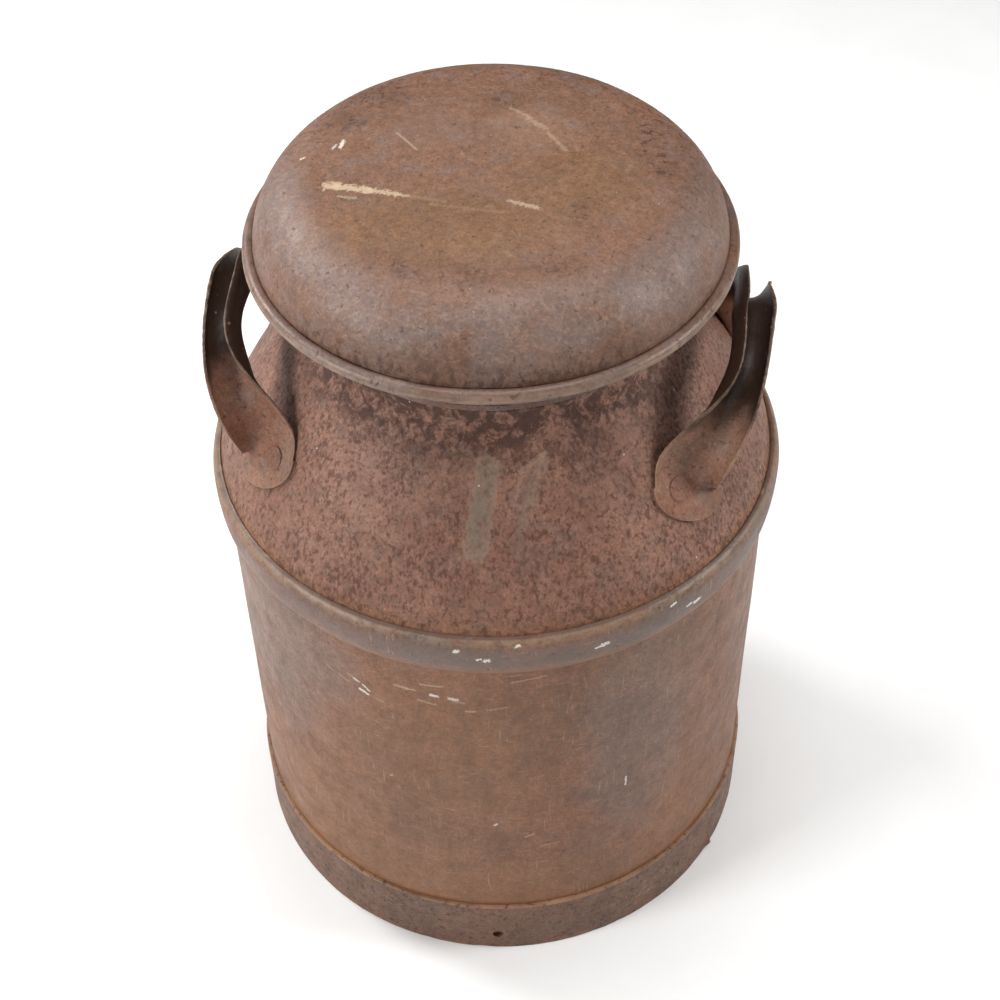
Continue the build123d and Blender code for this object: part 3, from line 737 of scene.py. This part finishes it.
# ---- neck, breast and hoops ----
def make_neck(material):
    """Neck, flared mouth and the curl round the mouth wire."""
    curl = MOUTH_WIRE_R + SHEET
    reach_in = FLARE_R - MOUTH_WIRE_R
    mouth_turn = 180 - FLARE_TURN
    top_turn = radians(mouth_turn)
    wall = NECK_REACH - curl - reach_in * cos(top_turn) - FLARE_R
    centre = Vector((wall + FLARE_R, NECK_TOP - curl - reach_in * sin(top_turn)))
    wire = centre + Vector((cos(top_turn), sin(top_turn))) * reach_in
    meet = degrees(acos((FLARE_R ** 2 + reach_in ** 2 - curl ** 2) / (2 * FLARE_R * reach_in)))
    under = arc(centre, FLARE_R, mouth_turn + meet, 180)
    start = under[0] - wire
    end_turn = degrees(start.angle_signed(Vector((1, 0))))
    if end_turn > mouth_turn:
        end_turn -= 360
    roll = arc(wire, curl, mouth_turn, end_turn, 0.8 * MM)
    inside = arc(centre, FLARE_R + SHEET, 180, mouth_turn)
    low = NECK_BOTTOM
    inner = line((wall - SHEET, low), (wall - SHEET, centre.y))
    outer = line((wall, centre.y), (wall, low))
    points = joined(inner, inside, roll, under, outer)[:-1]
    relief = lambda place: rumple(place, 30 * MM, 0.25 * MM, 8.0) + pocks(place, 4 * MM, 0.06 * MM, 0.2)
    # the foot, which sits in the breast, keeps its shape, and the rest takes this share of the relief
    share = 0.6
    loop = [(p, side * share if p.y >= low + 4 * MM else Vector((0, 0)))
            for p, side in zip(points, lefts(points))]
    turned("neck_sheet", loop, relief, "can", ["neck"], material)


def breast_relief(place):
    flat = rumple(place, 50 * MM, 0.45 * MM, 2.0) + rumple(place, 16 * MM, 0.14 * MM, 5.0)
    marks = pocks(place, 3.4 * MM, 0.14 * MM, 0.25, 9.0)
    return flat + marks


def make_breast(material):
    """Collar against the neck, a tight turn, the long slope and a skirt inside the body."""
    collar = BREAST_TOP - COLLAR_HEIGHT
    turn = curve((COLLAR_R, collar), (COLLAR_R, collar - 4.7 * MM), COLLAR_TURN_END)
    slope = curve(COLLAR_TURN_END, SLOPE_BULGE, (BODY_R, BODY_TOP), step=1.25 * MM)
    skirt_r = BODY_R - SHEET
    outline = joined(line((COLLAR_R, BREAST_TOP), (COLLAR_R, collar)), turn, slope,
                     line((skirt_r, BODY_TOP - 1.5 * MM), (skirt_r, SKIRT_BOTTOM)))
    turned("breast_sheet", sheet_loop(outline, back_step=4), breast_relief, "can", ["breast"],
           material, columns=540)


def make_hoop(material):
    """Half-round shoulder hoop, with its solder run out onto the body below."""
    low, toe = HOOP_BOTTOM, HOOP_BOTTOM - HOOP_FILLET
    shoulder, hip = HOOP_TOP - 7.5 * MM, (HOOP_R - 1.5 * MM, low)
    face = joined(curve((BODY_R + HOOP_LIP, HOOP_TOP), (HOOP_R, HOOP_TOP - 1.5 * MM), (HOOP_R, shoulder)),
                  curve((HOOP_R, shoulder), (HOOP_R, low + 6.5 * MM), hip),
                  curve(hip, (HOOP_R - 3.6 * MM, low - 3 * MM), (BODY_R, toe)))
    inner_r = BODY_R - 0.5 * MM
    rest = [(inner_r, toe), (inner_r, HOOP_TOP - 0.6 * MM)]
    relief = lambda place: (rumple(place, 28 * MM, 0.3 * MM, 4.0) + rumple(place, 7 * MM, 0.08 * MM)
                            + pocks(place, 4 * MM, 0.08 * MM, 0.12))
    turned("shoulder_hoop", solid_loop(face, rest), relief, "can",
           ["shoulder_band", "shoulder_band_solder"], material)


# ---- cylinder and foot ----
def body_relief(place):
    lap = 0.0
    if place.y > 0 and abs(place.x) < LAP_WIDTH / 2 and FOOT_TOP - 2 * MM < place.z < HOOP_BOTTOM:
        lap = SHEET
    flat = rumple(place, 70 * MM, 0.55 * MM, 3.0) + rumple(place, 22 * MM, 0.10 * MM, 6.0)
    dents = sum(dent(place, on_can(turn, height), size, depth) for turn, height, size, depth in BODY_DENTS)
    # the cylinder stays true where the hoops hold it
    held = 12 * MM
    calm = min(1.0, max(0.0, (place.z - FOOT_TOP) / held), max(0.0, (HOOP_BOTTOM - place.z) / held))
    return lap + (flat + dents) * calm + pocks(place, 4 * MM, 0.05 * MM, 0.1)


def make_body(material):
    """Rolled cylinder with its seam lapped at the back."""
    outline = line((BODY_R, BODY_TOP - 1 * MM), (BODY_R, BODY_BOTTOM), step=2.6 * MM)
    lap_turn = degrees(LAP_WIDTH / 2 / BODY_R)
    # the lap's edge is a step this many degrees to either side of its line
    ramp = 0.06
    near, off = lap_turn - ramp, lap_turn + ramp
    extra = [180 - near, 180 - off, -180 + near, -180 + off]
    piece = turned("body_sheet", sheet_loop(outline, back_step=6), body_relief, "can", ["body_shell"],
                   material, extra_turns=extra)
    drill(piece)


def make_foot_band(material):
    """Hoop round the foot, with an uneven lower edge and a flake of rust at the right."""
    edge_r, edge_z = FOOT_R - FOOT_EDGE, FOOT_TOP - FOOT_EDGE
    face = joined(line((BODY_R + 0.1 * MM, FOOT_TOP), (edge_r, FOOT_TOP), step=1 * MM),
                  arc((edge_r, edge_z), FOOT_EDGE, 90, 0, 0.4 * MM),
                  line((FOOT_R, edge_z), (FOOT_R, FOOT_EDGE), step=2 * MM),
                  arc((edge_r, FOOT_EDGE), FOOT_EDGE, 0, -90, 0.4 * MM))
    rest = line((BODY_R, FLOOR), (BODY_R, FOOT_TOP - 0.3 * MM), step=5 * MM)
    flake = on_can(64.5, 5 * MM, FOOT_R)
    relief = lambda place: (rumple(place, 34 * MM, 0.30 * MM, 5.0) + rumple(place, 9 * MM, 0.10 * MM)
                            + pocks(place, 4 * MM, 0.12 * MM, 0.2) + dent(place, flake, 2.6 * MM, -2.4 * MM))
    piece = turned("foot_hoop", solid_loop(face, rest), relief, "can", ["foot_band"],
                   material)
    fray(piece, FOOT_TOP, 3 * MM, 24 * MM, 0.7 * MM)
    eaten = 3 * MM
    for v in piece.data.vertices:
        if v.co.z < eaten:
            lift = max(0.0, noise.noise(v.co.xy.to_3d() / (11 * MM)) - 0.1) * 1.6 * MM
            v.co.z += lift * (1 - v.co.z / eaten)
        v.co.z = max(v.co.z, 0.0)
    drill(piece)


def drill(piece):
    """Cuts the drain hole through a piece."""
    cutter = bmesh.new()
    place = Matrix.Rotation(radians(DRAIN_TURN), 4, "Z") @ Matrix.Translation((0, -BODY_R, DRAIN_Z))
    bmesh.ops.create_cone(cutter, segments=28, radius1=DRAIN_R, radius2=DRAIN_R, depth=40 * MM,
                          cap_ends=True, matrix=place @ Matrix.Rotation(pi / 2, 4, "X"))
    mesh = bpy.data.meshes.new("drain_cutter")
    cutter.to_mesh(mesh)
    cutter.free()
    tool = bpy.data.objects.new("drain_cutter", mesh)
    bpy.context.scene.collection.objects.link(tool)
    cut = piece.modifiers.new("drain", "BOOLEAN")
    cut.object = tool
    cut.operation = "DIFFERENCE"
    cut.solver = "MANIFOLD"
    with_modifiers(piece)
    bpy.data.objects.remove(tool)
    piece.data.set_sharp_from_angle(angle=SHARP)


def make_bottom(material):
    """Bottom pan, dished upward, seen from below."""
    rim = BODY_R - 2 * SHEET
    _, low, high = reach("bottom_pan")
    edge, middle = high - PAN_RISE, high - SHEET
    dome = curve((rim, edge), (rim - 40 * MM, edge + 4.5 * MM), (40 * MM, middle), (0, middle), step=4 * MM)
    outline = joined(line((rim, low), (rim, edge)), dome)
    relief = lambda place: rumple(place, 45 * MM, 0.5 * MM, 6.0) + pocks(place, 5 * MM, 0.15 * MM, 0.25)
    turned("bottom_sheet", sheet_loop(outline, back_step=2), relief, "can", ["bottom_pan"],
           material, columns=240)


# ---- handles and rivets ----
def worn_copy(node, voxel, wear, material, shape=None):
    """Copy of a CAD node with softened edges and uneven faces, which stands for it."""
    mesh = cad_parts[node].data.copy()
    piece = bpy.data.objects.new(node + "_worn", mesh)
    bpy.context.scene.collection.objects.link(piece)
    even = piece.modifiers.new("even", "REMESH")
    even.mode = "VOXEL"
    even.voxel_size = voxel
    soften = piece.modifiers.new("soften", "SMOOTH")
    soften.factor = 0.5
    soften.iterations = 2
    with_modifiers(piece)
    mesh = piece.data
    for v, out in zip(mesh.vertices, [n.vector.copy() for n in mesh.vertex_normals]):
        place = shape(v.co.copy()) if shape else v.co.copy()
        v.co = place + out * (rumple(place, 12 * MM, wear, 2.0) + rumple(place, 3 * MM, wear * 0.4, 5.0))
    bpy.data.objects.remove(piece)
    return finished(node + "_worn", mesh, "can", [node], material)


def bent_in(place):
    """The rear half of each bow has been knocked inward a little."""
    ramp = 33 * MM
    share = min(1.0, max(0.0, (place.y + 10 * MM) / ramp), max(0.0, (56 * MM - place.y) / ramp))
    inward = GRIP_KNOCK * share * share * (3 - 2 * share)
    return place + Vector((inward if place.x < 0 else -inward, 0, 0))


def make_handles(material):
    for side in ("left", "right"):
        worn_copy(f"{side}_handle", 0.5 * MM, 0.22 * MM, material, bent_in)


def make_rivets(material):
    for side in ("left", "right"):
        for end in ("front", "rear"):
            worn_copy(f"{side}_{end}_rivet", 0.35 * MM, 0.10 * MM, material)


def dress_nodes(solder, wire, breast):
    """Finishes for the CAD nodes that stay as they are. Solder under a handle has rusted with the breast."""
    for name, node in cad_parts.items():
        if node.hide_render:
            continue
        finish = breast if name.endswith("foot_solder") else solder if "solder" in name else wire
        for place in node.material_slots:
            place.material = finish


# ---- stage ----
def make_floor():
    size, count = 3.0, 24
    floor = bmesh.new()
    bmesh.ops.create_grid(floor, x_segments=count, y_segments=count, size=size)
    mesh = bpy.data.meshes.new("floor")
    floor.to_mesh(mesh)
    floor.free()
    f = Finish("floor_paper")
    f.colour = f.mix(1.0, tone(248, 248, 247), f.shade(f.noise(60 * MM, 4), 0.99, 1.01), "MULTIPLY")
    f.rough = 0.9
    mesh.materials.append(f.done(specular=0.1))
    plane = bpy.data.objects.new("floor", mesh)
    bpy.context.scene.collection.objects.link(plane)


def make_lights():
    """Soft boxes round the can, which look at its shoulder, in a dim white room."""
    middle = Vector((0, 0, 0.3))
    # name: (power in watts, width, degrees from the front toward +X, height angle, distance)
    boxes = {"left_box": (15.0, 0.45, -114, 35, 1.5), "right_box": (12.5, 0.45, 92, 30, 1.5),
             "top_box": (17.0, 0.9, 150, 84, 1.7), "side_box": (22.0, 0.6, -57, 27, 1.9),
             "front_box": (5.5, 1.0, 14, 30, 2.0)}
    for name, (power, width, turn, rise, distance) in boxes.items():
        lamp = bpy.data.lights.new(name, "AREA")
        lamp.energy = power
        lamp.size = width
        box = bpy.data.objects.new(name, lamp)
        away = Vector((sin(radians(turn)) * cos(radians(rise)), -cos(radians(turn)) * cos(radians(rise)),
                       sin(radians(rise))))
        box.location = middle + away * distance
        box.rotation_euler = (-away).to_track_quat("-Z", "Y").to_euler()
        bpy.context.scene.collection.objects.link(box)
    world = bpy.data.worlds.new("white_room")
    world.use_nodes = True
    world.node_tree.nodes["Background"].inputs["Color"].default_value = (1, 1, 1, 1)
    world.node_tree.nodes["Background"].inputs["Strength"].default_value = 0.08
    bpy.context.scene.world = world
    bpy.context.scene.view_settings.view_transform = "Standard"


def make_camera():
    """Camera above the front, a little to the right. back and up are in radii of the can's body."""
    back, up = 4.786, 6.576
    turn, yaw, pitch, roll = radians(7.9), 0.0023, 0.8085, -0.0222
    aim = Vector((sin(yaw) * cos(pitch), cos(yaw) * cos(pitch), -sin(pitch)))
    level = Vector((cos(yaw), -sin(yaw), 0))
    above = level.cross(aim)
    right = level * cos(roll) + above * sin(roll)
    top = above * cos(roll) - level * sin(roll)
    pose = Matrix((right, top, -aim)).transposed().to_4x4()
    pose.translation = Vector((0, -back, up)) * BODY_R
    data = bpy.data.cameras.new("camera")
    data.sensor_width = 36
    data.lens = 65.28
    camera = bpy.data.objects.new("camera", data)
    camera.matrix_world = Matrix.Rotation(turn, 4, "Z") @ pose
    bpy.context.scene.collection.objects.link(camera)
    bpy.context.scene.camera = camera


make_camera()
make_lights()
make_floor()
lid_inner = lid_inner_finish()
breast = breast_finish()
body = body_finish()
make_lid_dome(lid_top_finish())
make_lid_rim(lid_inner)
make_lid_plug(lid_inner)
make_neck(breast)
make_breast(breast)
make_hoop(hoop_finish())
make_body(body)
make_foot_band(foot_finish())
make_bottom(body)
make_handles(handle_finish())
make_rivets(rivet_finish())
dress_nodes(solder_finish(), wire_finish(), breast)
